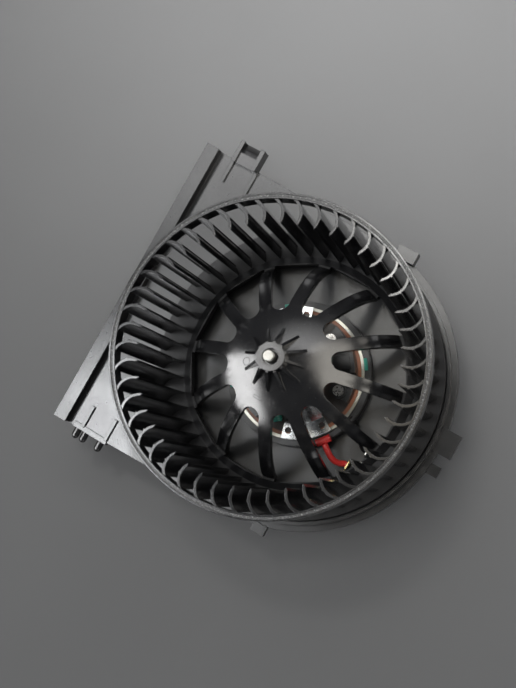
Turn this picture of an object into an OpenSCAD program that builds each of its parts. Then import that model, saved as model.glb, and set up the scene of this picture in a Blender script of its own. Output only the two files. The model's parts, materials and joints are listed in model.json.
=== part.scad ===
// Heater blower motor: blower wheel on a brushed motor, carried by a moulded base.
// The motor axis is Z. The origin is on that axis, on the flat underside of the motor cup.

/* [Fan wheel] */
// Outer diameter of the wheel
wheel_d = 155; // [145:1:165]
// Height of the wheel from its bottom plate to its rim
wheel_h = 80; // [76:1:88]
// Radial width of the rim ring
rim_w = 3; // [2.4:0.1:4]
// Height of the rim ring
rim_h = 9; // [6:0.5:12]
// Width of the groove along the top of the rim
rim_groove_w = 1.2; // [0.8:0.1:1.6]
// Depth of that groove
rim_groove_h = 0.4; // [0.2:0.1:0.8]
// Number of blades
blade_count = 48; // [36:1:54]
// Thickness of a blade
blade_t = 1.3; // [1:0.1:1.8]
// Radial depth of a blade
blade_depth = 11.6; // [10:0.1:12.5]
// Radius of the blade's curve
blade_curve_r = 8.5; // [8:0.1:12]
// Angle by which a blade's inner tip trails its outer root
blade_lag = 3.2; // [2:0.1:4]
// Angle of the first blade's root, counted from the X axis
blade_start = 4.8; // [0:0.1:7.4]
// Radius of the bead that runs down a blade's outer side
bead_r = 0.5; // [0.3:0.1:0.7]
// Drop of the blade tops below the rim's top
blade_drop = 0.4; // [0.2:0.1:1]
// Thickness of the bottom plate
plate_t = 2; // [1.6:0.1:3]
// Height of the sloped step round the foot of the dome
foot_step_h = 3; // [2:0.5:4]
// Radial width of that step
foot_step_w = 4; // [3:0.5:4.5]

/* [Dome and hub] */
// Radius of the dome where it meets the bottom plate
dome_foot_r = 58.5; // [56:0.5:59]
// Radius at which the hub's ribs run out on the dome
crown_r = 16; // [14:0.5:20]
// Depth of the dome below the rim at that radius
crown_drop = 23; // [20:0.5:28]
// Radius of the dome's curve
dome_curve_r = 94; // [85:1:120]
// Thickness of the dome and its spokes
dome_t = 3; // [2.4:0.1:4]
// Number of spokes
spoke_count = 12; // [10:1:14]
// Width of a spoke
spoke_w = 6.5; // [5:0.1:8]
// Radius of the inner ends of the windows
window_in_r = 26; // [24:0.5:32]
// Distance from the axis to the straight outer edge of a window
window_out_r = 57.5; // [52:0.5:57.5]
// Diameter of the hub boss
boss_d = 14; // [12:0.5:18]
// Depth of the top of the boss below the rim
boss_drop = 9.5; // [7:0.5:12]
// Length of the hub boss
boss_h = 36; // [30:1:40]
// Diameter of the recess round the shaft end
boss_recess_d = 8; // [7:0.2:10]
// Depth of that recess
boss_recess_h = 3; // [2:0.5:5]
// Thickness of a hub rib
hub_rib_t = 1.4; // [1:0.1:2]

/* [Shaft and bearings] */
// Diameter of the motor shaft
shaft_d = 6; // [5:0.1:7]
// Length of shaft that stands out of the boss
shaft_out = 4.5; // [2:0.5:6]
// Radial running clearance of the shaft in its bearings
running_gap = 0.03; // [0.02:0.01:0.08]
// Outer diameter of a bearing bush
bearing_d = 13; // [12:0.5:15]
// Length of a bearing bush
bearing_l = 7; // [6:0.5:8]

/* [Motor can] */
// Outer diameter of the can
can_d = 71; // [68:0.5:76]
// Wall of the can
can_wall = 1.6; // [1.2:0.1:2]
// Height of the can without its bearing nose
can_h = 50; // [48:0.5:56]
// Height of the bearing nose below the can
nose_h = 4; // [3:0.5:5]
// Thickness of a magnet
magnet_t = 6; // [5:0.2:7]
// Length of a magnet
magnet_l = 34; // [30:1:35]
// Angle that one magnet spans
magnet_span = 136; // [120:2:144]

/* [Armature] */
// Air gap between the core and the magnets
air_gap = 0.8; // [0.6:0.1:1.2]
// Length of the laminated core
core_l = 24; // [20:1:25]
// Number of winding slots
slot_count = 12; // [10:1:12]
// Radius of a winding slot
slot_r = 3.4; // [3:0.1:3.6]
// Height of the windings beyond each end of the core
end_turn_h = 7; // [5:0.5:7.5]
// Diameter of the commutator
commutator_d = 22; // [20:0.5:24]
// Length of the commutator's bars
commutator_l = 14; // [13:0.5:15]

/* [Brush gear] */
// Direction of the brushes round the axis
brush_angle = 38; // [30:1:46]
// Thickness of the laminate card
card_t = 2; // [1.6:0.1:2.4]
// Width of a brush across its slide
brush_w = 6; // [5:0.2:6.6]
// Height of a brush
brush_h = 8; // [7:0.2:9]
// Length of a brush
brush_l = 9.5; // [8:0.5:10.5]
// Clearance of a brush in its guide
brush_gap = 0.15; // [0.1:0.05:0.25]
// Wall of a brush guide
guide_wall = 0.8; // [0.6:0.1:1]
// Wire of a brush spring
spring_wire = 0.8; // [0.6:0.1:1]
// Half of the angle that a brush holder spans
holder_span = 40; // [36:1:42]
// Height of a brush holder
holder_h = 5; // [4:0.5:6]
// Diameter of a choke's coil
choke_d = 6.4; // [5:0.2:7]
// Length of a choke's coil
choke_l = 7; // [6:0.5:8]
// Width of the bracket strap
strap_w = 20; // [16:0.5:21]
// Thickness of the bracket strap
strap_t = 1.6; // [1.2:0.1:2]

/* [Base] */
// Diameter of the round floor
base_d = 167; // [162:1:180]
// Thickness of the floor
floor_t = 3; // [2.4:0.1:4]
// Height of the can's top edge above the floor
can_rise = 10; // [8:0.5:12]
// Outer diameter of the collar round the floor
collar_d = 160; // [158:0.5:162]
// Width of the collar
collar_w = 2; // [1.6:0.1:3]
// Height of the collar
collar_h = 5; // [4:0.5:7]
// Gap between the collar and the wheel
wheel_gap = 3; // [2:0.5:5]
// Wall of the motor cup
cup_wall = 2; // [1.6:0.1:3]
// Thickness of the rubber between the can and the cup
isolator_t = 1.5; // [1:0.1:2]
// Height of the cup's edge above the floor
cup_rise = 8; // [6:0.5:9]
// Thickness of the cup's bottom
cup_floor_t = 2.5; // [2:0.1:4]
// Height of the stiffening ribs under the floor
under_rib_h = 3; // [2:0.5:3.5]

/* [Wing] */
// Distance from the axis to the wing's outer edge
wing_l = 110.4; // [106:0.2:120]
// Half of the wing's width at its outer edge
wing_half_w = 87; // [84:0.5:92]
// Width of the raised rail along the outer edge
rail_w = 7.6; // [6:0.2:9]
// Height of the rail above the wing
rail_h = 6; // [4:0.5:8]
// Distance from the rail to the middle of the latch
latch_inset = 16.6; // [14:0.2:20]
// Width of the latch
latch_w = 15.3; // [12:0.2:17]
// Length of the latch beyond the wing
latch_l = 12.5; // [10:0.5:14]
// Diameter of a locating pin
pin_d = 4.2; // [3.6:0.1:4.8]
// Length of a locating pin beyond the wing
pin_l = 7; // [5:0.5:9]

/* [Connector] */
// Distance of the connector from the axis along X
socket_x = 49; // [47:0.5:50]
// Distance of the connector from the axis along Y, on the minus side
socket_y = 23.7; // [22:0.1:25]
// Inner length of the connector's shroud
socket_l = 24; // [22:0.5:26]
// Inner width of the connector's shroud
socket_w = 13; // [12:0.5:15]
// Depth of the connector's shroud
socket_h = 20; // [16:1:24]
// Wall of the shroud
socket_wall = 1.8; // [1.4:0.1:2.4]
// Width of a terminal blade
tag_w = 6.3; // [4.8:0.1:6.4]
// Thickness of a terminal blade
tag_t = 0.8; // [0.6:0.1:1]
// Diameter of a motor lead over its sleeve
lead_d = 3.6; // [3:0.1:3.8]

/* [Hidden] */
// Gap between pieces that seat on each other
seat_gap = 0.02;
// Clearance of a loose fit
loose_gap = 0.3;
$fn = 96;
fine = 128;
small = 40;

// Heights, stacked from the underside of the cup
nose_clear = 1.5;
can_z = cup_floor_t + nose_clear + nose_h;
can_top = can_z + can_h;
floor_top = can_top - can_rise;
floor_z = floor_top - floor_t;
collar_top = floor_top + collar_h;
wheel_z = collar_top + wheel_gap;
wheel_top = wheel_z + wheel_h;
plate_top = wheel_z + plate_t;
boss_top = wheel_top - boss_drop;
boss_z = boss_top - boss_h;
shaft_top = boss_top + shaft_out;
cup_top = floor_top + cup_rise;

// Radii
blade_sink = 0.5;
riser_w = 2;
card_gap = 0.1;
wheel_r = wheel_d / 2;
rim_in_r = wheel_r - rim_w;
rim_mid_r = wheel_r - rim_w / 2;
back_ring_r = dome_foot_r - dome_t / 2;
blade_out_r = rim_in_r + blade_sink;
blade_in_r = blade_out_r - blade_depth;
boss_r = boss_d / 2;
shaft_r = shaft_d / 2;
bearing_r = bearing_d / 2;
can_r = can_d / 2;
can_in_r = can_r - can_wall;
cup_in_r = can_r + isolator_t;
cup_r = cup_in_r + cup_wall;
magnet_out_r = can_in_r - seat_gap;
magnet_in_r = magnet_out_r - magnet_t;
core_r = magnet_in_r - air_gap;
commutator_r = commutator_d / 2;
riser_r = commutator_r + riser_w;
base_r = base_d / 2;
collar_r = collar_d / 2;

// Motor stack inside the can
end_clear = 3;
riser_clear = 1.5;
riser_h = 2;
riser_drop = 3;
can_floor = can_z + can_wall;
core_z = can_floor + end_turn_h + end_clear;
core_top = core_z + core_l;
tooth_t = 2.4;
slot_mid_r = core_r - slot_r - tooth_t;
magnet_z = core_z + core_l / 2 - magnet_l / 2;
ledge_h = 1.5;
ledge_w = 1.4;
card_top = can_top;
card_z = card_top - card_t;
card_r = can_in_r - card_gap;
card_hole_r = riser_r + riser_clear;
riser_z = card_z - riser_drop;
bars_z = riser_z + riser_h;
commutator_top = bars_z + commutator_l;
bearing_play = 0.4;
washer_h = 2.6;
strap_drop = 1;
strap_z = commutator_top + washer_h - strap_drop;
upper_bearing_z = commutator_top + washer_h + bearing_play;
upper_bearing_top = upper_bearing_z + bearing_l;
lower_bearing_z = can_z - nose_h + can_wall + bearing_play;
shaft_z = lower_bearing_z + bearing_play / 2;
nose_r = bearing_r + seat_gap + can_wall;
washer_t = 0.6;
washer_lift = 0.05;

// Brush gear
guide_in_w = brush_w + 2 * brush_gap;
guide_in_h = brush_h + 2 * brush_gap;
guide_w = guide_in_w + 2 * guide_wall;
guide_h = guide_in_h + 2 * guide_wall;
brush_face_gap = 0.15;
brush_face_r = commutator_r + brush_face_gap;
brush_back_r = brush_face_r + brush_l;
holder_in_r = 20;
holder_inset = 2;
holder_r = card_r - holder_inset;
holder_wall = 2;
guide_out_r = holder_r - holder_wall - seat_gap;
guide_clear = 0.8;
guide_in_r = riser_r + guide_clear;
brush_mid_z = card_top + guide_wall + guide_in_h / 2;
spring_r = guide_in_w / 2 - loose_gap - spring_wire / 2;
spring_turns = 5;
screw_r = 25;
screw_angle = holder_span - 7;
screw_hole_r = 1.6;
screw_head_r = 2.8;
screw_head_h = 2;
holder_boss_r = 3.8;
holder_boss_h = holder_h + 1;
choke_turns = 7;
choke_rod_out = 1;
choke_gap = 0.4;
choke_clear = 2.5;
choke_half_l = choke_l / 2 + choke_rod_out;
choke_side = strap_w / 2 + choke_gap + choke_d / 2;
choke_mid = choke_half_l + (choke_side + choke_d / 2) / tan(90 - holder_span - choke_clear);

// Base
rail_x = -wing_l + rail_w;
latch_x = rail_x + latch_inset;
wing_mid_y = base_r + (wing_half_w - base_r) * -latch_x / wing_l;
pin_pitch = 5;
pin_pair_out = 7.4;
pin_single_in = 5.4;
pin_z = floor_z + floor_t / 2;
pin_block = 1;
socket_floor = 3;
socket_out_w = socket_w + 2 * socket_wall;
socket_out_l = socket_l + 2 * socket_wall;
plug_depth = 10;
terminal_pitch = 11.6;
terminal_step = 5.6;
terminal_h = 5.5;

// Insulated boots on the edge of the cup, and the leads that run from them to the terminals.
// The routes' points are chosen by hand
terminal_a = [socket_x - terminal_step / 2, -socket_y - terminal_pitch / 2];
terminal_b = [socket_x + terminal_step / 2, -socket_y + terminal_pitch / 2];
lip_t = 1;
boot_d = 4;
boot_l = 8;
boot_turn_red = -39;
boot_turn_black = -15;
boot_in = 0.5;
boot_at_r = cup_r - boot_in;
boot_z = cup_top + lip_t + seat_gap + boot_d / 2;
lead_gap = 0.1;
lead_land = 0.7;
lead_end_z = floor_top + terminal_h - lead_d / 2;
lead_start_r = boot_at_r + boot_d / 2 + lead_gap;
function landing(tag) = [
  for (k = [2, 1, 0]) [tag[0] - tag_t / 2 - lead_gap - k * lead_land, tag[1], lead_end_z]];
red_route = concat([
  [lead_start_r * cos(boot_turn_red), lead_start_r * sin(boot_turn_red), boot_z],
  [33.6, -27.2, 59], [36.3, -29.2, 57.8], [39.2, -30.6, 55.6], [42, -30.6, 53.2]], landing(terminal_a));
black_route = concat([
  [lead_start_r * cos(boot_turn_black), lead_start_r * sin(boot_turn_black), boot_z],
  [42.2, -11.4, 58.8], [44.8, -13.2, 57.2], [47, -15.6, 54.6], [49, -17.4, 52.8]], landing(terminal_b));

// Centre of the circle of radius r through p and q, on the left of the way from p to q
function arc_centre(p, q, r) =
  let (c = q - p, l = norm(c))
  (p + q) / 2 + [-c[1], c[0]] / l * sqrt(r * r - l * l / 4);

// Unit vector along v
function unit(v) = v / norm(v);

// Point on a smooth curve through a list of points, at t from 0 to 1 between points i and i + 1
function smooth_point(pts, i, t) =
  let (
    n = len(pts) - 1,
    a = pts[i], b = pts[i + 1],
    p = i > 0 ? pts[i - 1] : 2 * a - b,
    q = i < n - 1 ? pts[i + 2] : 2 * b - a)
  a + t * ((b - p) / 2 + t * ((p - 2.5 * a + 2 * b - q / 2) + t * ((q - p) / 2 + 1.5 * (a - b))));

// A list of points with extra ones put in along a smooth curve
function smooth_route(pts, steps) = [
  each [for (i = [0:len(pts) - 2], k = [0:steps - 1]) smooth_point(pts, i, k / steps)],
  pts[len(pts) - 1]];

// Frame that is carried along a route, so that the rings of a tube don't twist
function side_of(t, s) = unit(s - t * (s * t));
function tangents(pts) = [
  for (i = [0:len(pts) - 1])
    unit(pts[min(i + 1, len(pts) - 1)] - pts[max(i - 1, 0)])];

// Round tube along a route
module tube(pts, r, sides) {
  n = len(pts);
  t = tangents(pts);
  s = [for (i = 0, v = side_of(t[0], [0.3, 0.9, 0.2]); i < n; i = i + 1, v = side_of(t[min(i, n - 1)], v)) v];
  rings = [
    for (i = [0:n - 1], k = [0:sides - 1])
      let (a = 360 * k / sides)
      pts[i] + r * (s[i] * cos(a) + cross(t[i], s[i]) * sin(a))];
  walls = [
    for (i = [0:n - 2], k = [0:sides - 1])
      let (m = (k + 1) % sides)
      [i * sides + k, i * sides + m, (i + 1) * sides + m, (i + 1) * sides + k]];
  first = [for (k = [0:sides - 1]) k];
  last = [for (k = [0:sides - 1]) n * sides - 1 - k];
  polyhedron(points = rings, faces = concat([first], [last], [for (f = walls) [f[3], f[2], f[1], f[0]]]));
}

// Ring with a square section
module ring(out_r, in_r, z, h) {
  translate([0, 0, z]) difference() {
    cylinder(r = out_r, h = h, $fn = fine);
    translate([0, 0, -1]) cylinder(r = in_r, h = h + 2, $fn = fine);
  }
}

// Flat sector between two radii, half_span degrees to each side of the X axis
module sector(out_r, in_r, half_span) {
  far = out_r * 2;
  intersection() {
    difference() {
      circle(r = out_r, $fn = fine);
      circle(r = in_r, $fn = fine);
    }
    polygon([
      [0, 0], far * [cos(half_span), -sin(half_span)], [far, 0], far * [cos(half_span), sin(half_span)]]);
  }
}

// Plan of one blade: an arc from the rim to its inner tip, with a bead on its outer side
module blade_plan() {
  bead_share = 0.6;
  root = [blade_out_r, 0];
  tip = blade_in_r * [cos(blade_lag), -sin(blade_lag)];
  centre = arc_centre(tip, root, blade_curve_r);
  chord = unit(root - tip);
  side = 3 * chord;
  away = [chord[1], -chord[0]] * blade_curve_r;
  intersection() {
    difference() {
      translate(centre) circle(r = blade_curve_r + blade_t / 2, $fn = fine);
      translate(centre) circle(r = blade_curve_r - blade_t / 2, $fn = fine);
    }
    polygon([tip - side, root + side, root + side + away, tip - side + away]);
  }
  bead_way = unit(root + (tip - root) * bead_share - centre);
  translate(centre + bead_way * (blade_curve_r + blade_t / 2)) circle(r = bead_r, $fn = small / 2);
}

// Plan of one window between two spokes: its inner end is round and a little wider than the taper
module window_plan() {
  window_swell = 0.1;
  half = 180 / spoke_count;
  apex = spoke_w / 2 / sin(half);
  round_x = (window_in_r - apex * sin(half)) / (1 - sin(half));
  round_r = round_x - window_in_r;
  touch = [round_x - round_r * sin(half), round_r * cos(half)];
  corner = [window_out_r, (window_out_r - apex) * tan(half)];
  translate([round_x, 0]) circle(r = round_r + window_swell, $fn = small);
  polygon([[touch[0], -touch[1]], [corner[0], -corner[1]], corner, touch]);
}

// Section of the dome, from the hub to the bottom plate
module dome_section() {
  crown = [crown_r, wheel_top - crown_drop];
  foot = [dome_foot_r, plate_top];
  centre = arc_centre(foot, crown, dome_curve_r);
  intersection() {
    difference() {
      translate(centre) circle(r = dome_curve_r, $fn = 256);
      translate(centre) circle(r = dome_curve_r - dome_t, $fn = 256);
    }
    translate([boss_r - 1, wheel_z]) square([wheel_r, wheel_h]);
  }
}

// Section of the bottom plate with the sloped step at the foot of the dome
module plate_section() {
  step_r = dome_foot_r + foot_step_w;
  polygon([
    [back_ring_r, wheel_z], [wheel_r, wheel_z], [wheel_r, plate_top], [step_r, plate_top],
    [dome_foot_r, plate_top + foot_step_h], [back_ring_r, plate_top + foot_step_h]]);
}

// One rib between the hub boss and the dome; its ends are sunk into both
module hub_rib() {
  crown_z = wheel_top - crown_drop;
  top_drop = 1.2;
  top_w = 1.1;
  sink = 1;
  toe_w = 2;
  rib_top = boss_top - top_drop;
  root_r = boss_r - sink / 2;
  slope = (rib_top - crown_z) / (crown_r - root_r - top_w);
  rotate([90, 0, 0]) linear_extrude(hub_rib_t, center = true)
    polygon([
      [root_r, rib_top], [root_r + top_w, rib_top], [crown_r + sink, crown_z - sink * slope],
      [crown_r - toe_w, crown_z - dome_t / 2], [root_r, crown_z + toe_w]]);
}

// Places the windows, or what lies on their middles, round the dome
module each_window() {
  for (i = [0:spoke_count - 1]) rotate(i * 360 / spoke_count) children();
}

// All the windows, as tall cuts
module window_cuts() {
  each_window() translate([0, 0, wheel_z - 1]) linear_extrude(wheel_h) window_plan();
}

// Top ring of the wheel, with a groove between two lips
module wheel_rim() {
  color([0.05, 0.05, 0.05]) difference() {
    ring(wheel_r, rim_in_r, wheel_top - rim_h, rim_h);
    ring(rim_mid_r + rim_groove_w / 2, rim_mid_r - rim_groove_w / 2, wheel_top - rim_groove_h, rim_h);
  }
}

// Blades between the back ring and the rim
module wheel_blades() {
  color([0.05, 0.05, 0.05]) translate([0, 0, plate_top]) linear_extrude(wheel_top - blade_drop - plate_top)
    intersection() {
      for (i = [0:blade_count - 1]) rotate(blade_start + i * 360 / blade_count) blade_plan();
      circle(r = rim_in_r - seat_gap, $fn = fine);
    }
}

// Ring under the blades, with the straight outer edges of the windows
module wheel_back_ring() {
  color([0.05, 0.05, 0.05]) difference() {
    rotate_extrude($fn = fine) plate_section();
    window_cuts();
  }
}

// Curved spokes between the hub and the back ring
module wheel_spokes() {
  color([0.05, 0.05, 0.05]) difference() {
    rotate_extrude($fn = fine) intersection() {
      dome_section();
      translate([window_in_r + seat_gap, wheel_z])
        square([back_ring_r - window_in_r - 2 * seat_gap, wheel_h]);
    }
    window_cuts();
  }
}

// Section of the hub: the crown of the dome and the boss, with the bore and its recess cut out
module hub_section() {
  difference() {
    union() {
      intersection() {
        dome_section();
        translate([0, wheel_z]) square([window_in_r, wheel_h]);
      }
      translate([0, boss_z]) square([boss_r, boss_h]);
    }
    translate([-1, boss_z - 1]) square([shaft_r + seat_gap + 1, boss_h + 2]);
    translate([-1, boss_top - boss_recess_h]) square([boss_recess_d / 2 + 1, boss_recess_h + 1]);
  }
}

// Hub: the crown of the dome, the boss on the shaft and the ribs between them
module wheel_hub() {
  color([0.05, 0.05, 0.05]) union() {
    rotate_extrude($fn = fine) hub_section();
    each_window() rotate(180 / spoke_count) hub_rib();
  }
}

// Steel shaft with a chamfer at each end
module motor_shaft() {
  chamfer = 0.6;
  color([0.72, 0.72, 0.72]) rotate_extrude($fn = fine)
    polygon([
      [0, shaft_z], [shaft_r - chamfer, shaft_z], [shaft_r, shaft_z + chamfer],
      [shaft_r, shaft_top - chamfer], [shaft_r - chamfer, shaft_top], [0, shaft_top]]);
}

// Places the slots round the core
module each_slot() {
  for (i = [0:slot_count - 1]) rotate(i * 360 / slot_count) translate([slot_mid_r, 0]) children();
}

// Laminated core with its winding slots
module armature_core() {
  mouth_w = 2;
  color([0.32, 0.32, 0.34]) translate([0, 0, core_z]) linear_extrude(core_l) difference() {
    circle(r = core_r, $fn = fine);
    circle(r = shaft_r + seat_gap, $fn = fine);
    each_slot() {
      circle(r = slot_r, $fn = small);
      translate([0, -mouth_w / 2]) square([slot_r + 4, mouth_w]);
    }
  }
}

// Section of the end turns beyond one end of the core
module end_turn_section() {
  r = end_turn_h / 2;
  translate([slot_mid_r - slot_r, r]) circle(r = r, $fn = small);
  translate([slot_mid_r + slot_r - r, r]) circle(r = r, $fn = small);
  translate([slot_mid_r - slot_r, 0]) square([2 * slot_r - r, end_turn_h]);
}

// Copper windings: bundles in the slots and end turns
module armature_windings() {
  lining = 0.15;
  lift = 0.05;
  reach = 1;
  color([0.55, 0.27, 0.12]) union() {
    translate([0, 0, core_z - reach]) linear_extrude(core_l + 2 * reach) each_slot()
      circle(r = slot_r - lining, $fn = small);
    translate([0, 0, core_top + lift]) rotate_extrude($fn = fine) end_turn_section();
    translate([0, 0, core_z - end_turn_h - lift]) rotate_extrude($fn = fine) end_turn_section();
  }
}

// Commutator: a drum of bars parted by narrow slots, with a riser at its foot
module commutator() {
  slot_w = 0.6;
  slot_depth = 0.8;
  color([0.72, 0.42, 0.2]) difference() {
    union() {
      translate([0, 0, riser_z]) cylinder(r = riser_r, h = bars_z - riser_z, $fn = fine);
      translate([0, 0, bars_z]) cylinder(r = commutator_r, h = commutator_l, $fn = fine);
    }
    translate([0, 0, riser_z - 1]) cylinder(r = shaft_r + seat_gap, h = commutator_l + 4, $fn = fine);
    for (i = [0:slot_count - 1]) rotate(i * 360 / slot_count)
      translate([commutator_r - slot_depth, -slot_w / 2, riser_z - 1])
        cube([riser_r, slot_w, commutator_l + 4]);
  }
}

// Fibre washers between the commutator and the upper bearing
module thrust_washers() {
  washer_w = 2.2;
  color([0.75, 0.7, 0.55]) ring(shaft_r + washer_w, shaft_r + seat_gap, commutator_top, washer_h);
}

// Plan of the base: round floor with the wing on one side, drawn in by an inset
module base_plan(inset) {
  circle(r = base_r - inset, $fn = fine);
  polygon([
    [0, base_r - inset], [-wing_l + inset, wing_half_w - inset],
    [-wing_l + inset, -wing_half_w + inset], [0, -base_r + inset]]);
}

// Snap latch at one end of the wing: a bowed nose between two cheeks
module latch() {
  cheek_w = 2.4;
  cheek_rise = 1.5;
  root = 1.5;
  nose_top = floor_top + 4;
  translate([latch_x, wing_mid_y - root, 0]) {
    rotate([90, 0, 90]) translate([0, 0, -latch_w / 2]) linear_extrude(latch_w) intersection() {
      translate([0, nose_top - latch_l]) circle(r = latch_l + root, $fn = fine);
      translate([0, floor_z]) square([latch_l + root, nose_top - floor_z]);
    }
    for (s = [-1, 1]) translate([s * (latch_w - cheek_w) / 2 - cheek_w / 2, 0, floor_z])
      cube([cheek_w, latch_l, nose_top - floor_z + cheek_rise]);
  }
}

// Locating pins with domed tips at the other end of the wing, on a block with a flat face
module locating_pins() {
  root = 2;
  block_rise = 0.8;
  block_side = pin_d / 2 + 1.4;
  wall_l = pin_l - pin_d / 2;
  first_x = latch_x - pin_pair_out - pin_pitch / 2;
  last_x = latch_x + pin_single_in;
  translate([first_x - block_side, -wing_mid_y - pin_block, floor_z - block_rise])
    cube([last_x - first_x + 2 * block_side, root + pin_block, floor_t + 2 * block_rise]);
  for (x = [first_x, first_x + pin_pitch, last_x]) translate([x, -wing_mid_y, pin_z]) rotate([90, 0, 0]) {
    cylinder(d = pin_d, h = wall_l, $fn = small);
    translate([0, 0, wall_l]) sphere(d = pin_d, $fn = small);
  }
}

// Lugs on the round edge that turn in behind the heater box: start along the edge, width, reach beyond it
module edge_lugs() {
  root = 4;
  low_h = 4;
  high_h = 7;
  back = [12.4, 11.7, 3];
  front = [17, 8, 1.4];
  side = [-0.8, 13.5, 7.2];
  under = [-12.5, 6, 5.6];
  lip = [5.2, 4, 6.5];
  under_drop = 2;
  translate([back[0], base_r - root, floor_z]) cube([back[1], root + back[2], high_h]);
  translate([front[0], -base_r - front[2], floor_z]) cube([front[1], root + front[2], low_h]);
  translate([base_r - root, side[0], floor_z]) cube([root + side[2], side[1], low_h]);
  translate([base_r + side[2] - lip[0], side[0], floor_z]) cube(lip);
  translate([base_r - root, under[0], floor_z - under_drop]) cube([root + under[2], under[1], low_h]);
}

// Air slots through the bottom of the motor cup
module cup_vents() {
  vent_in_r = 12;
  vent_out_r = 22;
  vent_half_span = 20;
  vents = 6;
  for (i = [0:vents - 1]) rotate(i * 360 / vents) translate([0, 0, -1]) linear_extrude(cup_floor_t + 2)
    sector(vent_out_r, vent_in_r, vent_half_span);
}

// Moulded base with the motor cup, the collar and the wing
module base_housing() {
  rib_t = 2.4;
  ribs = 12;
  wing_rib_at = 7.7;
  wing_rib_l = 13;
  wing_rib_w = 2;
  wing_rib_h = 1.5;
  color([0.07, 0.07, 0.07]) difference() {
    union() {
      translate([0, 0, floor_z]) linear_extrude(floor_t) base_plan(0);
      translate([0, 0, floor_z - under_rib_h]) linear_extrude(under_rib_h + 1) difference() {
        base_plan(0);
        base_plan(rib_t);
      }
      for (i = [0:ribs - 1]) rotate((i + 0.5) * 360 / ribs)
        translate([cup_r - 1, -rib_t / 2, floor_z - under_rib_h])
          cube([base_r - cup_r - 1, rib_t, under_rib_h + 1]);
      cylinder(r = cup_r, h = cup_top, $fn = fine);
      ring(collar_r, collar_r - collar_w, floor_top - 1, collar_h + 1);
      translate([-wing_l, -wing_half_w, floor_top - 1]) intersection() {
        cube([rail_w, 2 * wing_half_w, rail_h + 1]);
        translate([wing_l, wing_half_w, 0]) linear_extrude(rail_h + 1) base_plan(0);
      }
      for (x = [-wing_rib_at, wing_rib_at], y = [wing_mid_y - wing_rib_l - 1, 1 - wing_mid_y])
        translate([latch_x + x - wing_rib_w / 2, y, floor_top - 1])
          cube([wing_rib_w, wing_rib_l, wing_rib_h + 1]);
      latch();
      locating_pins();
      edge_lugs();
    }
    translate([0, 0, cup_floor_t]) cylinder(r = cup_in_r, h = cup_top, $fn = fine);
    cup_vents();
    for (t = [terminal_a, terminal_b])
      translate([t[0] - tag_t / 2 - loose_gap, t[1] - tag_w / 2 - loose_gap, floor_z - 1])
        cube([tag_t + 2 * loose_gap, tag_w + 2 * loose_gap, floor_t + 2]);
    translate([socket_x, -socket_y, floor_z - under_rib_h - 1]) linear_extrude(under_rib_h + 1)
      square([socket_out_w + 2 * loose_gap, socket_out_l + 2 * loose_gap], center = true);
  }
}

// Shroud under the floor that takes the vehicle's plug
module connector_socket() {
  color([0.1, 0.1, 0.1]) translate([socket_x, -socket_y, floor_z - socket_h]) difference() {
    translate([-socket_out_w / 2, -socket_out_l / 2, 0]) cube([socket_out_w, socket_out_l, socket_h]);
    translate([-socket_w / 2, -socket_l / 2, -1]) cube([socket_w, socket_l, socket_h - socket_floor + 1]);
    for (t = [terminal_a, terminal_b])
      translate([t[0] - socket_x - tag_t / 2 - seat_gap, t[1] + socket_y - tag_w / 2 - seat_gap, 0])
        cube([tag_t + 2 * seat_gap, tag_w + 2 * seat_gap, socket_h + 1]);
  }
}

// Flat terminal blade from the socket up to its tag above the floor
module terminal(at) {
  foot = floor_z - socket_h + plug_depth;
  top = floor_top + terminal_h;
  taper = 1.5;
  corner = 1;
  translate([at[0] + tag_t / 2, at[1], 0]) rotate([90, 0, -90]) linear_extrude(tag_t)
    polygon([
      [-tag_w / 2 + taper, foot], [tag_w / 2 - taper, foot], [tag_w / 2, foot + taper],
      [tag_w / 2, top - corner], [tag_w / 2 - corner, top], [-tag_w / 2 + corner, top],
      [-tag_w / 2, top - corner], [-tag_w / 2, foot + taper]]);
}

module terminal_positive() {
  color([0.8, 0.7, 0.45]) terminal(terminal_a);
}

module terminal_negative() {
  color([0.75, 0.75, 0.75]) terminal(terminal_b);
}

// Insulated boot of a lead, lying along the cup's edge
module boot(turn) {
  bore_r = 1;
  rotate(turn) translate([boot_at_r, 0, boot_z]) rotate([90, 0, 0]) translate([0, 0, -boot_l / 2])
    difference() {
      cylinder(d = boot_d, h = boot_l, $fn = small);
      translate([0, 0, -1]) cylinder(r = bore_r, h = boot_l + 2, $fn = small);
    }
}

module red_boot() {
  color([0.75, 0.1, 0.1]) boot(boot_turn_red);
}

module black_boot() {
  color([0.1, 0.1, 0.1]) boot(boot_turn_black);
}

// Motor leads in their sleeves
module red_lead() {
  color([0.75, 0.1, 0.1]) tube(smooth_route(red_route, 3), lead_d / 2, 8);
}

module black_lead() {
  color([0.1, 0.1, 0.1]) tube(smooth_route(black_route, 3), lead_d / 2, 8);
}

// Rubber ring under the can
module lower_isolator() {
  inset = 3;
  width = 8;
  color([0.08, 0.08, 0.08]) ring(can_r - inset, can_r - inset - width, cup_floor_t, can_z - cup_floor_t);
}

// Rubber ring between the can and the cup, with a lip over the cup's edge
module upper_isolator() {
  lip_in = 0.4;
  rubber_gap = 0.1;
  skirt_h = 9;
  lip_r = cup_r - lip_in;
  out_r = cup_in_r - rubber_gap;
  color([0.08, 0.08, 0.08]) rotate_extrude($fn = fine)
    polygon([
      [can_r + seat_gap, cup_top - skirt_h], [out_r, cup_top - skirt_h],
      [out_r, cup_top], [lip_r, cup_top], [lip_r, cup_top + lip_t],
      [can_r + seat_gap, cup_top + lip_t]]);
}

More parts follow.
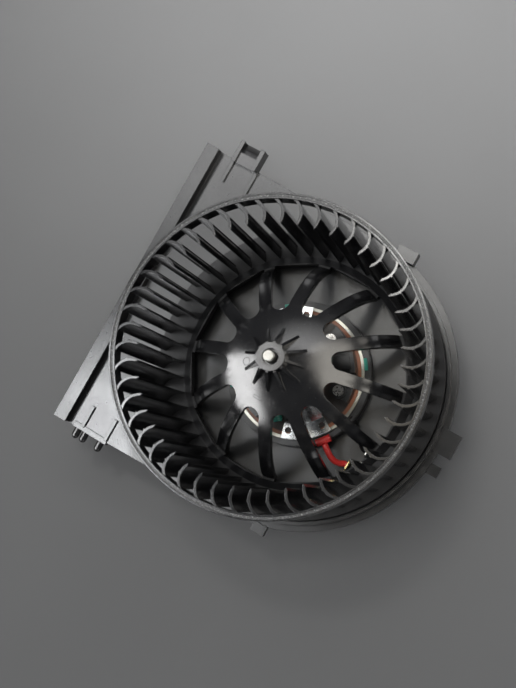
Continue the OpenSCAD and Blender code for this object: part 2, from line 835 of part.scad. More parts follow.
// Damper pads that stand on the rubber's lip, against the can
module damper_pads() {
  pads = 4;
  pad_half_span = 5;
  pad_w = 1.8;
  pad_h = 1.6;
  pad_back = 2;
  turn = brush_angle - pad_back;
  color([0.1, 0.5, 0.4]) for (i = [0:pads - 1]) rotate(turn + i * 360 / pads)
    translate([0, 0, cup_top + lip_t]) linear_extrude(pad_h)
      sector(can_r + seat_gap + pad_w, can_r + seat_gap, pad_half_span);
}

// Drawn steel can with its bearing nose and the ledge that carries the card
module motor_can() {
  color([0.7, 0.7, 0.7]) rotate_extrude($fn = fine)
    polygon([
      [0, can_z - nose_h], [nose_r, can_z - nose_h], [nose_r, can_z], [can_r, can_z], [can_r, can_top],
      [can_in_r, can_top], [can_in_r, card_z - seat_gap], [can_in_r - ledge_w, card_z - seat_gap],
      [can_in_r, card_z - ledge_h - ledge_w], [can_in_r, can_floor], [bearing_r + seat_gap, can_floor],
      [bearing_r + seat_gap, can_z - nose_h + can_wall], [0, can_z - nose_h + can_wall]]);
}

// One field magnet, centred on the X axis
module magnet() {
  color([0.22, 0.22, 0.23]) translate([0, 0, magnet_z]) linear_extrude(magnet_l)
    sector(magnet_out_r, magnet_in_r, magnet_span / 2);
}

module magnet_a() {
  rotate(brush_angle) magnet();
}

module magnet_b() {
  rotate(brush_angle + 180) magnet();
}

// Spring clips that push the magnets apart
module magnet_clips() {
  clip_t = 0.7;
  end_gap = 0.3;
  leg_clear = 1.5;
  end_in = 2;
  half = 90 - magnet_span / 2 - end_gap;
  clip_half = atan(clip_t / magnet_out_r);
  color([0.65, 0.65, 0.65]) for (s = [90, 270]) rotate(brush_angle + s)
    translate([0, 0, magnet_z + end_in]) linear_extrude(magnet_l - 2 * end_in) {
      sector(magnet_out_r, magnet_out_r - clip_t, half);
      for (e = [-1, 1]) rotate(e * (half - clip_half))
        sector(magnet_out_r, magnet_in_r + leg_clear, clip_half);
    }
}

// Sintered bearing bush
module bush(z) {
  color([0.6, 0.5, 0.35]) ring(bearing_r, shaft_r + running_gap, z, bearing_l);
}

module lower_bearing() {
  bush(lower_bearing_z);
}

module upper_bearing() {
  bush(upper_bearing_z);
}

// Spring washer with fingers that holds a bearing in its seat
module finger_washer(out_r, in_r, z, t) {
  fingers = 6;
  slot_w = 1.2;
  color([0.66, 0.66, 0.66]) translate([0, 0, z]) linear_extrude(t) difference() {
    circle(r = out_r, $fn = fine);
    circle(r = in_r, $fn = fine);
    for (i = [0:fingers - 1]) rotate(i * 360 / fingers)
      translate([0, -slot_w / 2]) square([(in_r + out_r) / 2, slot_w]);
  }
}

module lower_bearing_retainer() {
  flange_w = 5;
  finger_washer(bearing_r + flange_w, bearing_r + washer_lift, can_floor, washer_t);
}

module upper_bearing_cap() {
  shaft_clear = 0.5;
  finger_washer(nose_r, shaft_r + shaft_clear, upper_bearing_top + washer_lift, washer_t);
}

// Steel strap across the can that carries the upper bearing, with a wide foot at each end
module end_bracket() {
  foot_w = 9;
  foot_flat = 2;
  foot_start = 0.5;
  shoulder_w = 8;
  foot_r = can_r - foot_w;
  flat_r = foot_r + foot_flat;
  shoulder_r = nose_r + shoulder_w;
  ear_r = can_r - foot_w / 2;
  ear_in = 5.5;
  foot_clear = 0.6;
  foot_half_span = atan((strap_w / 2 + choke_gap) / (choke_mid + choke_half_l)) - foot_clear;
  ear_half_span = foot_half_span - ear_in;
  ear_hole_r = 1.7;
  slant = strap_t / 2;
  color([0.75, 0.75, 0.75]) rotate(brush_angle + 90) difference() {
    union() {
      intersection() {
        rotate_extrude($fn = fine) polygon([
          [bearing_r + seat_gap, strap_z], [shoulder_r, strap_z], [foot_r, can_top],
          [flat_r, can_top], [flat_r, can_top + strap_t], [foot_r + slant, can_top + strap_t],
          [shoulder_r + slant, strap_z + strap_t], [nose_r, strap_z + strap_t],
          [nose_r, upper_bearing_top], [bearing_r + seat_gap, upper_bearing_top]]);
        translate([-can_r, -strap_w / 2, can_top]) cube([2 * can_r, strap_w, can_h]);
      }
      for (turn = [0, 180]) rotate(turn) translate([0, 0, can_top]) linear_extrude(strap_t)
        sector(can_r, foot_r + foot_start, foot_half_span);
    }
    for (turn = [0, 180], s = [-1, 1]) rotate(turn + s * ear_half_span) translate([ear_r, 0, can_top - 1])
      cylinder(r = ear_hole_r, h = strap_t + 2, $fn = small);
  }
}

// Screw places on one brush holder
module each_holder_screw() {
  for (s = [-1, 1]) rotate(s * screw_angle) translate([screw_r, 0]) children();
}

// Laminate card that carries the brush gear
module brush_card() {
  color([0.5, 0.25, 0.1]) translate([0, 0, card_z]) linear_extrude(card_t) difference() {
    circle(r = card_r, $fn = fine);
    circle(r = card_hole_r, $fn = fine);
    for (a = [0, 180]) rotate(brush_angle + a) each_holder_screw() circle(r = screw_hole_r, $fn = small);
  }
}

// Moulded holder that clamps a brush guide on the card, centred on the X axis
module brush_holder() {
  slot_w = guide_w + 2 * seat_gap;
  back_w = guide_w + 2 * holder_wall;
  color([0.07, 0.07, 0.07]) translate([0, 0, card_top]) difference() {
    union() {
      linear_extrude(holder_h) sector(holder_r, holder_in_r, holder_span);
      linear_extrude(guide_h) intersection() {
        circle(r = holder_r, $fn = fine);
        translate([guide_out_r - 1, -back_w / 2]) square([holder_r, back_w]);
      }
      each_holder_screw() cylinder(r = holder_boss_r, h = holder_boss_h, $fn = small);
    }
    translate([0, -slot_w / 2, -1]) cube([guide_out_r + seat_gap, slot_w, guide_h + 2]);
    each_holder_screw() translate([0, 0, -1]) cylinder(r = screw_hole_r, h = holder_boss_h + 2, $fn = small);
  }
}

module brush_holder_a() {
  rotate(brush_angle) brush_holder();
}

module brush_holder_b() {
  rotate(brush_angle + 180) brush_holder();
}

// Screws that hold both brush holders to the card
module holder_screws() {
  cross_l = 3.2;
  cross_w = 0.6;
  cross_depth = 0.8;
  color([0.7, 0.7, 0.68]) for (a = [0, 180]) rotate(brush_angle + a) each_holder_screw()
    translate([0, 0, card_z]) {
      cylinder(r = screw_hole_r - seat_gap, h = card_t + holder_boss_h + screw_head_h / 4, $fn = small);
      translate([0, 0, card_t + holder_boss_h]) difference() {
        cylinder(r = screw_head_r, h = screw_head_h, $fn = small);
        for (q = [0, 90]) rotate(q) translate([-cross_l / 2, -cross_w / 2, screw_head_h - cross_depth])
          cube([cross_l, cross_w, screw_head_h]);
      }
    }
}

// Moulded tube in which a brush slides, centred on the X axis
module brush_guide() {
  color([0.06, 0.06, 0.06]) translate([guide_in_r, 0, card_top]) difference() {
    translate([0, -guide_w / 2, 0]) cube([guide_out_r - guide_in_r, guide_w, guide_h]);
    translate([-1, -guide_in_w / 2, guide_wall]) cube([guide_out_r, guide_in_w, guide_in_h]);
  }
}

module brush_guide_a() {
  rotate(brush_angle) brush_guide();
}

module brush_guide_b() {
  rotate(brush_angle + 180) brush_guide();
}

// Carbon brush with its face ground to the commutator, centred on the X axis
module brush() {
  color([0.15, 0.15, 0.15]) difference() {
    translate([0, -brush_w / 2, brush_mid_z - brush_h / 2]) cube([brush_back_r, brush_w, brush_h]);
    translate([0, 0, bars_z]) cylinder(r = brush_face_r, h = commutator_l + 2, $fn = fine);
  }
}

module brush_a() {
  rotate(brush_angle) brush();
}

module brush_b() {
  rotate(brush_angle + 180) brush();
}

// Coil spring between a brush and the end of its guide, centred on the X axis
module brush_spring() {
  steps = 10;
  in_x = brush_back_r + spring_wire / 2 + washer_lift;
  out_x = guide_out_r - spring_wire / 2;
  route = [
    for (i = [0:spring_turns * steps])
      let (a = 360 * i / steps)
      [in_x + (out_x - in_x) * a / (360 * spring_turns), spring_r * cos(a), brush_mid_z + spring_r * sin(a)]];
  color([0.7, 0.7, 0.7]) tube(route, spring_wire / 2, 6);
}

module brush_spring_a() {
  rotate(brush_angle) brush_spring();
}

module brush_spring_b() {
  rotate(brush_angle + 180) brush_spring();
}

// Suppression choke: a rod core with a close coil, lying on the card along the strap's edge
module choke() {
  wire_overlap = 1.02;
  wire_d = choke_l / choke_turns;
  rod_r = choke_d / 2 - wire_d;
  translate([choke_mid, -choke_side, card_top + choke_d / 2 + seat_gap]) rotate([0, 90, 0])
    translate([0, 0, -choke_l / 2]) rotate_extrude($fn = small) {
      translate([0, -choke_rod_out]) square([rod_r, choke_l + 2 * choke_rod_out]);
      for (i = [0:choke_turns - 1]) translate([rod_r, wire_d * (i + 0.5)])
        circle(d = wire_d * wire_overlap, $fn = small / 2);
      square([rod_r + wire_d / 5, choke_l]);
    }
}

module choke_a() {
  color([0.1, 0.45, 0.35]) rotate(brush_angle + 90) choke();
}

module choke_b() {
  color([0.1, 0.45, 0.35]) rotate(brush_angle + 270) choke();
}

wheel_rim();
wheel_blades();
wheel_back_ring();
wheel_spokes();
wheel_hub();
motor_shaft();
armature_core();
armature_windings();
commutator();
thrust_washers();
base_housing();
connector_socket();
terminal_positive();
terminal_negative();
red_boot();
black_boot();
red_lead();
black_lead();
lower_isolator();
upper_isolator();
damper_pads();
motor_can();
magnet_a();
magnet_b();
magnet_clips();
lower_bearing();
lower_bearing_retainer();
upper_bearing();
upper_bearing_cap();
end_bracket();
brush_card();
brush_holder_a();
brush_holder_b();
holder_screws();
brush_guide_a();
brush_guide_b();
brush_a();
brush_b();
brush_spring_a();
brush_spring_b();
choke_a();
choke_b();
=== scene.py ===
"""Looks of a heater blower motor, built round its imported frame. Metres, +Z up the motor axis."""
import json
import math

import bpy
from mathutils import Matrix, Vector


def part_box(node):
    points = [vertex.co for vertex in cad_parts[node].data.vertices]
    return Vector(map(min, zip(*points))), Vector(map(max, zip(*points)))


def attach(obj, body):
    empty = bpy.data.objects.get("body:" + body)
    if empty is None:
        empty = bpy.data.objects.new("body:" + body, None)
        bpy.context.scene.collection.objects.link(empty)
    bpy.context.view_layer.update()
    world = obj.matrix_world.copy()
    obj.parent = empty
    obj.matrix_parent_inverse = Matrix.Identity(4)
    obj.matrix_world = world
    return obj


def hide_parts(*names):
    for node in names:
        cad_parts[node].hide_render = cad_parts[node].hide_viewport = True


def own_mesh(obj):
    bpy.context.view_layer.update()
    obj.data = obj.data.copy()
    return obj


MM = 0.001
UP = Vector((0.0, 0.0, 1.0))

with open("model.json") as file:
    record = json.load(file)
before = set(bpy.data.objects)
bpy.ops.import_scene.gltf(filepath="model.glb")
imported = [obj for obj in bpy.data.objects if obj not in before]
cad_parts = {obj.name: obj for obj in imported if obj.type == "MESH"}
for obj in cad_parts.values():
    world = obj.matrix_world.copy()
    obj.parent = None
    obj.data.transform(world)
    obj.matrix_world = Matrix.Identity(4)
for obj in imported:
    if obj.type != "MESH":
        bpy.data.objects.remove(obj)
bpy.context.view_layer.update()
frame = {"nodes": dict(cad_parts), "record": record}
nodes = frame["nodes"]

# Sizes that the frame gives
RIM_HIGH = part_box("wheel_rim")[1]
WHEEL_R = RIM_HIGH.x
WHEEL_TOP = RIM_HIGH.z
HUB_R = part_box("wheel_hub")[1].x
DOME_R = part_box("wheel_spokes")[1].x
CARD_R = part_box("brush_card")[1].x

# Sizes of the wheel's rim
RIM_W = 3.0 * MM
GROOVE_W = 1.2 * MM
RIM_MIDDLE_R = WHEEL_R - RIM_W / 2

# Heights or radii over which a look changes
BAND_HEIGHTS = (WHEEL_TOP - 0.55 * MM, WHEEL_TOP - 0.45 * MM)
BAND_RADII = (WHEEL_R - RIM_W - 0.1 * MM, WHEEL_R - RIM_W)
LIP_OFFSETS = (GROOVE_W * 0.4, GROOVE_W * 0.7)
DOME_RADII = (DOME_R - 8.0 * MM, DOME_R)
WING_RADII = (100.0 * MM, 108.0 * MM)
BROWN_EDGE_RADII = (CARD_R - 2.4 * MM, CARD_R - 1.2 * MM)

# Radius of a moulded edge and depths of fine relief
EDGE_R = 0.35 * MM
PLASTIC_RELIEF = 0.012 * MM
BASE_RELIEF = 0.008 * MM
WHEEL_RELIEF = 0.005 * MM
CARD_RELIEF = 0.01 * MM
METAL_RELIEF = 0.0015 * MM

# Noises: scale, detail and roughness
CLOUD = (55.0, 4.0, 0.6)
WHEEL_CLOUD = (70.0, 4.0, 0.6)
DUST = (420.0, 5.0, 0.7)
BLOTCH = (500.0, 4.0, 0.6)
SPECK = (1300.0, 6.0, 0.75)
SCRATCH = (700.0, 4.0, 0.6)
STREAK = (900.0, 4.0, 0.6)
TONE = (160.0, 3.0, 0.5)
GRAIN = (2600.0, 2.0, 0.5)
PAPER = (6.0, 3.0, 0.5)

# Parts of a noise's values over which a look changes, and the most that faint dust covers
MOST = (0.3, 0.7)
DUST_SPAN, DUST_SHARE = (0.56, 0.78), 0.35
SPECK_SPAN = (0.52, 0.64)
SCRATCH_SPAN = (0.62, 0.75)
STREAK_SPAN = (0.25, 0.75)
TONE_SPAN = (0.35, 0.7)

# Brush springs
WIRE_R = 0.4 * MM
WIRE_SIDES = 12
COIL_TURNS = 5
COIL_STEPS = 32

# Raised marks on the hub, with angles in degrees about the motor axis
BEAD_R = 0.15 * MM
EJECTOR_R = 1.9 * MM
EJECTOR_STEP = 15
EJECTOR_AT = (14.55 * MM, -148.4)
ARROW_R = 20.4 * MM
ARROW_HALF_W = 0.65 * MM
ARROW_HEAD_HALF_W = 1.5 * MM
ARROW_TAIL, ARROW_NECK, ARROW_TIP = -95, -71, -63.4
ARROW_STEP = 4
ARROW_SPACING = 0.4 * MM

# Camera, from a perspective fit of the wheel's rim in the photograph
CAMERA_AT = (0.1417, -0.0023, 0.6778)
CAMERA_RIGHT = (0.841, 0.493, -0.2245)
CAMERA_BACK = (0.2625, -0.008, 0.965)
LENS = 62.8
SENSOR_W = 36.0

# Studio
FLOOR_HALF = 40.0
LIGHT_AIM = (0.0, 0.0, 0.10)
WHITE = (1.0, 1.0, 1.0)
SKY_COLOR = (0.9, 0.92, 0.95, 1.0)
SKY_GLOW = 0.32
SKY_GLOSS_CUT = -0.14

# Cards that show as reflections: place, size, radiance and colour
CARDS = {
    "left_card": ((-0.464, -0.516, 0.72), (0.95, 0.32), 14.0, WHITE),
    "right_card": ((0.42, 0.27, 0.64), (0.56, 0.42), 5.0, (1.0, 0.95, 0.86)),
    "high_left_card": ((-0.397, -0.206, 1.0), (0.21, 0.17), 24.0, (0.96, 0.98, 1.0)),
    "wing_card": ((-0.50, 0.18, 1.0), (0.22, 0.15), 5.0, WHITE),
    "boss_card": ((-0.23, 0.0, 1.0), (0.10, 0.10), 8.0, WHITE),
    "warm_card": ((-0.115, 0.03, 1.0), (0.12, 0.18), 2.4, (1.0, 0.91, 0.74)),
}

# Equal cards in a circle round the part, with the first one's angle
SIDE_CARDS, SIDE_CARD_FIRST = 4, 45.0
SIDE_CARD_R, SIDE_CARD_Z = 1.3, 0.35
SIDE_CARD_SIZE, SIDE_CARD_GLOW = (1.1, 0.45), 1.6


class Look:
    """A node material on a Principled shader, with short ways to add the nodes that drive it."""

    def __init__(self, name, color, rough, metal=0.0, spec=0.5):
        self.material = bpy.data.materials.new(name)
        self.material.use_nodes = True
        self.tree = self.material.node_tree
        self.shader = self.tree.nodes["Principled BSDF"]
        self.set("Base Color", (*color, 1.0))
        self.set("Roughness", rough)
        self.set("Metallic", metal)
        self.set("Specular IOR Level", spec)
        self.place = self.add("ShaderNodeTexCoord").outputs["Object"]

    def add(self, kind, **settings):
        node = self.tree.nodes.new(kind)
        for key, value in settings.items():
            setattr(node, key, value)
        return node

    def feed(self, socket, value):
        """Links an output to a socket, or sets the socket to a plain value."""
        if isinstance(value, bpy.types.NodeSocket):
            self.tree.links.new(value, socket)
        else:
            socket.default_value = value

    def set(self, name, value):
        self.feed(self.shader.inputs[name], value)

    def math(self, kind, a, b=0.0):
        node = self.add("ShaderNodeMath", operation=kind)
        self.feed(node.inputs[0], a)
        self.feed(node.inputs[1], b)
        return node.outputs[0]

    def vector(self, kind, a, b=(0.0, 0.0, 0.0)):
        node = self.add("ShaderNodeVectorMath", operation=kind)
        self.feed(node.inputs[0], a)
        self.feed(node.inputs[1], b)
        return node.outputs[0]

    def split(self, vector):
        node = self.add("ShaderNodeSeparateXYZ")
        self.feed(node.inputs[0], vector)
        return node.outputs

    def span(self, value, low, high, to_low=0.0, to_high=1.0):
        """Maps low..high to to_low..to_high, smoothly and without going past either end."""
        node = self.add("ShaderNodeMapRange", interpolation_type="SMOOTHSTEP")
        for name, part in (("Value", value), ("From Min", low), ("From Max", high),
                           ("To Min", to_low), ("To Max", to_high)):
            self.feed(node.inputs[name], part)
        return node.outputs["Result"]

    def noise(self, scale, detail, rough, stretch=None):
        place = self.place
        if stretch:
            mapping = self.add("ShaderNodeMapping")
            self.feed(mapping.inputs["Vector"], place)
            self.feed(mapping.inputs["Scale"], stretch)
            place = mapping.outputs["Vector"]
        node = self.add("ShaderNodeTexNoise")
        self.feed(node.inputs["Vector"], place)
        self.feed(node.inputs["Scale"], scale)
        self.feed(node.inputs["Detail"], detail)
        self.feed(node.inputs["Roughness"], rough)
        return node.outputs["Fac"]

    def mix(self, share, a, b):
        """Goes from colour a to colour b by share."""
        node = self.add("ShaderNodeMix", data_type="RGBA")
        self.feed(node.inputs["Factor"], share)
        # A Mix node's sockets share their names, so its two colours go by number
        for number, color in ((6, a), (7, b)):
            self.feed(node.inputs[number], (*color, 1.0) if isinstance(color, tuple) else color)
        return node.outputs[2]

    def height(self):
        """Height above the origin."""
        return self.split(self.place)["Z"]

    def radius(self):
        """Distance from the motor axis."""
        axes = self.split(self.place)
        squares = [self.math("POWER", axes[name], 2.0) for name in "XY"]
        return self.math("SQRT", self.math("ADD", *squares))

    def dust(self):
        """Share of faint dust."""
        return self.span(self.noise(*DUST), *DUST_SPAN, 0.0, DUST_SHARE)

    def flatter(self, normal, share):
        """Eases a slope's normal towards straight up by share, and leaves upright walls alone."""
        wall, slope = 0.45, 0.65
        lift = self.add("ShaderNodeCombineXYZ")
        self.feed(lift.inputs["Z"], self.span(self.split(normal)["Z"], wall, slope, 0.0, share))
        return self.vector("NORMALIZE", self.vector("ADD", normal, lift.outputs[0]))

    def bump(self, height, distance, edge, ease=None):
        """Fine relief, on edges that are rounded off by the radius edge and slopes that are eased."""
        round_off = self.add("ShaderNodeBevel", samples=4)
        self.feed(round_off.inputs["Radius"], edge)
        normal = round_off.outputs["Normal"]
        node = self.add("ShaderNodeBump")
        self.feed(node.inputs["Height"], height)
        self.feed(node.inputs["Distance"], distance)
        self.feed(node.inputs["Normal"], self.flatter(normal, ease) if ease else normal)
        self.set("Normal", node.outputs["Normal"])


def plastic(name, color, rough):
    """Moulded plastic: cloudy gloss, a fine moulded grain and faint dust."""
    spread, dust_gain, dust_lift = 0.06, 2.2, 0.02
    pale = tuple(min(1.0, c * dust_gain + dust_lift) for c in color)
    look = Look(name, color, rough)
    look.set("Base Color", look.mix(look.dust(), color, pale))
    look.set("Roughness", look.span(look.noise(*CLOUD), *MOST, rough - spread, rough + spread))
    look.bump(look.noise(*GRAIN), PLASTIC_RELIEF, EDGE_R)
    return look.material


def metal(name, color, rough, spread=0.1, stretch=(1.0, 1.0, 1.0)):
    """Plated or turned metal: streaked gloss and a slight change of tone."""
    tint = 0.8
    dull = tuple(c * tint for c in color)
    look = Look(name, color, rough, metal=1.0)
    look.set("Base Color", look.mix(look.span(look.noise(*TONE), *TONE_SPAN), color, dull))
    streak = look.noise(*STREAK, stretch)
    look.set("Roughness", look.span(streak, *STREAK_SPAN, rough - spread, rough + spread))
    look.bump(streak, METAL_RELIEF, EDGE_R / 2)
    return look.material


def base_plastic():
    """Black moulding: a satin grain round the wheel, a smoother skin out on the wing."""
    color, pale = (0.011, 0.011, 0.0115), (0.045, 0.045, 0.044)
    rough_inside, rough_outside, spread = 0.30, 0.22, 0.02
    look = Look("base_plastic", color, rough_inside)
    look.set("Base Color", look.mix(look.dust(), color, pale))
    outside = look.span(look.radius(), *WING_RADII)
    cloud = look.span(look.noise(*CLOUD), *MOST, -spread, spread)
    rough = look.span(outside, 0.0, 1.0, rough_inside, rough_outside)
    look.set("Roughness", look.math("ADD", cloud, rough))
    look.bump(look.noise(*GRAIN), BASE_RELIEF, EDGE_R)
    return look.material


def card_laminate():
    """Brown laminate that is nearly black inside a brown outer edge."""
    brown, black, dark_brown = (0.34, 0.115, 0.045), (0.012, 0.010, 0.009), (0.035, 0.024, 0.018)
    gloss = (0.4, 0.55)
    look = Look("card_laminate", brown, gloss[0])
    brown_edge = look.span(look.radius(), *BROWN_EDGE_RADII)
    blotch = look.noise(*BLOTCH)
    # Nearly black, in blotches, inside the outer edge, and brown at the edge
    look.set("Base Color", look.mix(brown_edge, look.mix(blotch, black, dark_brown), brown))
    look.set("Roughness", look.span(blotch, *MOST, *gloss))
    look.bump(blotch, CARD_RELIEF, EDGE_R / 2)
    return look.material


def wheel_plastic(name, gloss=(0.13, 0.22), spec=0.5):
    """Black moulding with a skin between two roughnesses.

    The rim's top is speckled between two smooth lips, and the slopes of the hub's dome are eased.
    """
    black, dusty = (0.010, 0.010, 0.011), (0.30, 0.30, 0.29)
    speck_on_lips, scratch_share, band_rough, band_relief, ease = 0.12, 0.05, 0.25, 6.0, 0.8
    look = Look(name, black, gloss[0], spec=spec)
    r = look.radius()

    on_rim = look.math("MULTIPLY", look.span(look.height(), *BAND_HEIGHTS), look.span(r, *BAND_RADII))
    from_middle = look.math("ABSOLUTE", look.math("SUBTRACT", r, RIM_MIDDLE_R))
    lip = look.span(from_middle, *LIP_OFFSETS)
    band = look.math("MULTIPLY", on_rim, look.span(lip, 0.0, 1.0, 1.0, speck_on_lips))
    dust = look.math("MULTIPLY", band, look.span(look.noise(*SPECK), *SPECK_SPAN))

    scratch = look.span(look.noise(*SCRATCH, (1.0, 1.0, 0.08)), *SCRATCH_SPAN, 0.0, scratch_share)
    look.set("Base Color", look.mix(look.math("MAXIMUM", dust, scratch), black, dusty))

    cloud = look.span(look.noise(*WHEEL_CLOUD), *MOST, *gloss)
    look.set("Roughness", look.math("ADD", cloud, look.math("MULTIPLY", band, band_rough)))

    # Hub and spokes meet in one moulding, so the seam between them isn't rounded off
    seam = look.math("ABSOLUTE", look.math("SUBTRACT", r, HUB_R))
    edge = look.span(seam, EDGE_R, 2 * EDGE_R, 0.0, EDGE_R)
    grain = look.math("ADD", look.noise(*GRAIN), look.math("MULTIPLY", dust, band_relief))
    look.bump(grain, WHEEL_RELIEF, edge, look.span(r, *DOME_RADII, ease, 0.0))
    return look.material


# Plastics and the like: colour and roughness
PLASTICS = {
    "socket_plastic": ((0.03, 0.03, 0.03), 0.5),
    "fibre": ((0.50, 0.42, 0.27), 0.75),
    "red_sleeve": ((0.78, 0.048, 0.042), 0.28),
    "black_sleeve": ((0.02, 0.02, 0.02), 0.35),
    "rubber": ((0.018, 0.018, 0.018), 0.42),
    "holder_plastic": ((0.018, 0.018, 0.018), 0.35),
    "guide_plastic": ((0.014, 0.014, 0.014), 0.25),
    "damper_foam": ((0.02, 0.30, 0.22), 0.6),
    "carbon": ((0.03, 0.03, 0.032), 0.6),
    "choke_enamel": ((0.02, 0.27, 0.20), 0.25),
}

# Metals and ferrite: colour, roughness, its spread and the stretch of the streaks
METALS = {
    "shaft_steel": ((0.27, 0.265, 0.245), 0.40, 0.05, (1.0, 1.0, 0.05)),
    "core_steel": ((0.30, 0.30, 0.31), 0.45, 0.1, (0.05, 0.05, 3.0)),
    "winding_copper": ((0.60, 0.26, 0.11), 0.35, 0.1, (0.2, 0.2, 2.0)),
    "commutator_copper": ((0.76, 0.44, 0.26), 0.25, 0.1, (1.0, 1.0, 0.1)),
    "terminal_brass": ((0.83, 0.68, 0.36), 0.28),
    "terminal_tin": ((0.78, 0.78, 0.76), 0.30),
    "can_steel": ((0.36, 0.35, 0.31), 0.34, 0.05),
    "ferrite": ((0.12, 0.12, 0.13), 0.6),
    "spring_steel": ((0.66, 0.66, 0.66), 0.25),
    "bearing_bronze": ((0.50, 0.37, 0.21), 0.5),
    "bracket_steel": ((0.46, 0.47, 0.47), 0.22, 0.05),
    "screw_steel": ((0.50, 0.49, 0.47), 0.3),
}

LOOKS = {
    "wheel_plastic": wheel_plastic("wheel_plastic"),
    "base_plastic": base_plastic(),
    "card_laminate": card_laminate(),
    **{name: plastic(name, *values) for name, values in PLASTICS.items()},
    **{name: metal(name, *values) for name, values in METALS.items()},
}


def dress_nodes():
    """Gives each CAD node the look of its material slot."""
    for sub in frame["record"]["subparts"]:
        materials = nodes[sub["node"]].data.materials
        materials.clear()
        materials.append(LOOKS[sub["material_slot"]])
    # The ring under the blades is dull with dust
    nodes["wheel_back_ring"].data.materials[0] = wheel_plastic("dusty_wheel_plastic", (0.40, 0.50), 0.2)


def put(name, data):
    """New object in the scene for a mesh, curve, lamp or camera."""
    obj = bpy.data.objects.new(name, data)
    bpy.context.scene.collection.objects.link(obj)
    return obj


def polar(radius, angle):
    return radius * math.cos(math.radians(angle)), radius * math.sin(math.radians(angle))


def rounded_lead(color):
    """Lead with rounded sides in the place of the CAD one, whose sides are few and flat."""
    node = f"{color}_lead"
    mesh = nodes[node].data.copy()
    mesh.name = f"{color}_jumper"
    obj = put(mesh.name, mesh)
    obj.modifiers.new("join", "WELD").merge_threshold = 0.01 * MM
    obj.modifiers.new("round", "SUBSURF").render_levels = 2
    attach(obj, "stator")
    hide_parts(node)


def coil_mesh(name, middle, along, near, far, outer_r):
    """Round wire that winds from near to far along a line through middle."""
    across = Vector((-along.y, along.x, 0.0))
    radius = outer_r - WIRE_R
    pitch = (far - near - 2 * WIRE_R) / COIL_TURNS
    rings = COIL_TURNS * COIL_STEPS + 1
    points, faces = [], []
    for i in range(rings):
        turn = 2 * math.pi * i / COIL_STEPS
        out = across * math.cos(turn) + UP * math.sin(turn)
        around = UP * math.cos(turn) - across * math.sin(turn)
        beside = (around * 2 * math.pi * radius + along * pitch).normalized().cross(out)
        centre = middle + along * (near + WIRE_R + pitch * i / COIL_STEPS) + out * radius
        for k in range(WIRE_SIDES):
            angle = 2 * math.pi * k / WIRE_SIDES
            points.append(centre + (out * math.cos(angle) + beside * math.sin(angle)) * WIRE_R)
    for start in range(0, (rings - 1) * WIRE_SIDES, WIRE_SIDES):
        for k in range(WIRE_SIDES):
            a, b = start + k, start + (k + 1) % WIRE_SIDES
            faces.append((a, b, b + WIRE_SIDES, a + WIRE_SIDES))
    faces.append(tuple(reversed(range(WIRE_SIDES))))
    faces.append(tuple(range((rings - 1) * WIRE_SIDES, rings * WIRE_SIDES)))
    mesh = bpy.data.meshes.new(name)
    mesh.from_pydata(points, [], faces)
    mesh.shade_smooth()
    return mesh


def coil_spring(side):
    """Coil in the place of a brush's plain CAD spring, over the same length."""
    node = f"brush_spring_{side}"
    joints = {joint["name"]: joint for joint in frame["record"]["behaviour"]["joints"]}
    joint = joints[f"brush_{side}_slide"]
    along = Vector(joint["axis"]).normalized()
    reach = [v.co.dot(along) for v in nodes[node].data.vertices]
    near, far = min(reach), max(reach)
    low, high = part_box(node)
    middle = Vector((0.0, 0.0, (low.z + high.z) / 2))
    mesh = coil_mesh(f"coil_spring_{side}", middle, along, near, far, (high.z - low.z) / 2)
    mesh.materials.append(LOOKS["spring_steel"])
    obj = put(mesh.name, mesh)
    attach(obj, "stator")
    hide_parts(node)
    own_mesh(obj)


def on_hub(x, y):
    """Point of the hub's outside above x, y."""
    hub = nodes["wheel_hub"]
    back = hub.matrix_world.inverted()
    hit, place, _, _ = hub.ray_cast(back @ Vector((x, y, WHEEL_TOP)), back.to_3x3() @ -UP)
    assert hit, (x, y)
    return hub.matrix_world @ place


def bead(name, outline):
    """Fine raised line along a closed outline on the hub."""
    data = bpy.data.curves.new(name, "CURVE")
    data.dimensions = "3D"
    data.bevel_depth = BEAD_R
    data.bevel_resolution = 2
    line = data.splines.new("POLY")
    line.points.add(len(outline) - 1)
    for point, (x, y) in zip(line.points, outline):
        point.co = (*on_hub(x, y), 1.0)
    line.use_cyclic_u = True
    data.materials.append(LOOKS["wheel_plastic"])
    obj = put(name, data)
    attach(obj, "rotor")


def even(corners, step):
    """Points at even steps along the closed line through corners."""
    points = []
    for a, b in zip(corners, corners[1:] + corners[:1]):
        count = max(1, round(math.dist(a, b) / step))
        for i in range(count):
            points.append((a[0] + (b[0] - a[0]) * i / count, a[1] + (b[1] - a[1]) * i / count))
    return points


def hub_marks():
    """Ring left by the mould's ejector and an arrow in the direction of spin."""
    middle = polar(*EJECTOR_AT)
    ring = [polar(EJECTOR_R, angle) for angle in range(0, 360, EJECTOR_STEP)]
    bead("ejector_ring", [(middle[0] + x, middle[1] + y) for x, y in ring])
    stem = list(range(ARROW_TAIL, ARROW_NECK + 1, ARROW_STEP))
    inner = [polar(ARROW_R - ARROW_HALF_W, angle) for angle in stem]
    outer = [polar(ARROW_R + ARROW_HALF_W, angle) for angle in reversed(stem)]
    head = [polar(ARROW_R - ARROW_HEAD_HALF_W, ARROW_NECK), polar(ARROW_R, ARROW_TIP),
            polar(ARROW_R + ARROW_HEAD_HALF_W, ARROW_NECK)]
    bead("spin_arrow", even(inner + head + outer, ARROW_SPACING))


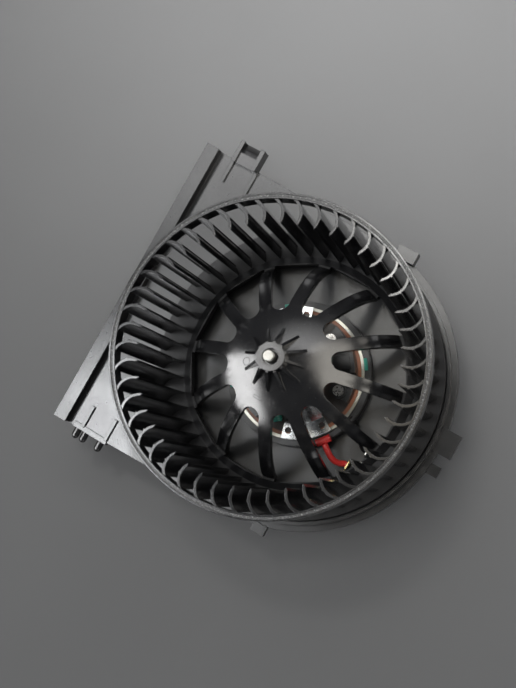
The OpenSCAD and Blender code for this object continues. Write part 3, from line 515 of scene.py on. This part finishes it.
def make_camera():
    """Camera of the photograph."""
    right = Vector(CAMERA_RIGHT).normalized()
    back = Vector(CAMERA_BACK)
    back = (back - right * back.dot(right)).normalized()
    up = back.cross(right)
    data = bpy.data.cameras.new("camera")
    data.lens = LENS
    data.sensor_width = SENSOR_W
    data.clip_start = 0.01
    camera = put("camera", data)
    turn = Matrix((right, up, back)).transposed().to_4x4()
    camera.matrix_world = Matrix.Translation(CAMERA_AT) @ turn
    bpy.context.scene.camera = camera


def area_light(name, at, size, glow, color=WHITE, down=False, spread=180.0, card=False, wash=False):
    """Soft box that shines with the radiance glow along its axis, down or else at the part.

    A grid in front of it opens by spread degrees. A card only shows as a reflection, and adds no light of
    its own to matt surfaces. A wash does the opposite.
    """
    half = math.radians(spread) / 2
    gain = math.tan(half) / (math.tan(half) - half) if spread < 180.0 else 1.0
    data = bpy.data.lights.new(name, "AREA")
    data.shape = "RECTANGLE"
    data.size, data.size_y = size
    data.spread = 2 * half
    data.energy = glow * 4 * size[0] * size[1] / gain
    data.color = color
    aim = (at[0], at[1], 0.0) if down else LIGHT_AIM
    lamp = put(name, data)
    lamp.location = at
    lamp.rotation_mode = "QUATERNION"
    lamp.rotation_quaternion = (Vector(aim) - Vector(at)).to_track_quat("-Z", "Y")
    lamp.visible_diffuse = not card
    lamp.visible_glossy = not wash
    lamp.visible_camera = False


def make_floor():
    """Plain grey floor of slightly cloudy paper."""
    corners = [(x * FLOOR_HALF, y * FLOOR_HALF, 0.0) for x, y in ((-1, -1), (1, -1), (1, 1), (-1, 1))]
    mesh = bpy.data.meshes.new("floor")
    mesh.from_pydata(corners, [], [(0, 1, 2, 3)])
    floor = put("floor", mesh)
    dark, grey, pale = ((tone, tone, tone) for tone in (0.186, 0.19, 0.194))
    look = Look("floor_paper", grey, 0.8, spec=0.2)
    look.set("Base Color", look.mix(look.span(look.noise(*PAPER), *MOST), dark, pale))
    mesh.materials.append(look.material)


def make_lights():
    """Cards, soft boxes and a dim grey world that is dimmer still in reflections."""
    for name, (at, size, glow, color) in CARDS.items():
        area_light(name, at, size, glow, color, card=True)
    area_light("top_box", (-0.125, 0.205, 1.0), (0.11, 0.09), 28.0, (1.0, 0.99, 0.95))
    area_light("ceiling", (-0.30, 0.20, 1.05), (0.30, 0.24), 2.0, down=True)
    area_light("top_wash", (0.05, -0.05, 1.0), (0.25, 0.25), 6.0, down=True, wash=True)
    area_light("floor_wash", (-0.115, 0.29, 0.45), (0.45, 0.25), 9.6, down=True, spread=90.0)
    for side in range(SIDE_CARDS):
        at = (*polar(SIDE_CARD_R, SIDE_CARD_FIRST + 360.0 / SIDE_CARDS * side), SIDE_CARD_Z)
        area_light(f"side_card_{side}", at, SIDE_CARD_SIZE, SIDE_CARD_GLOW, card=True)
    world = bpy.data.worlds.new("world")
    world.use_nodes = True
    tree = world.node_tree
    sky = tree.nodes["Background"]
    sky.inputs["Color"].default_value = SKY_COLOR
    fade = tree.nodes.new("ShaderNodeMath")
    fade.operation = "MULTIPLY_ADD"
    tree.links.new(tree.nodes.new("ShaderNodeLightPath").outputs["Is Glossy Ray"], fade.inputs[0])
    fade.inputs[1].default_value = SKY_GLOSS_CUT
    fade.inputs[2].default_value = SKY_GLOW
    tree.links.new(fade.outputs[0], sky.inputs["Strength"])
    bpy.context.scene.world = world


dress_nodes()
for side in "ab":
    coil_spring(side)
for color in ("red", "black"):
    rounded_lead(color)
hub_marks()
make_camera()
make_floor()
make_lights()
bpy.context.scene.view_settings.view_transform = "Standard"
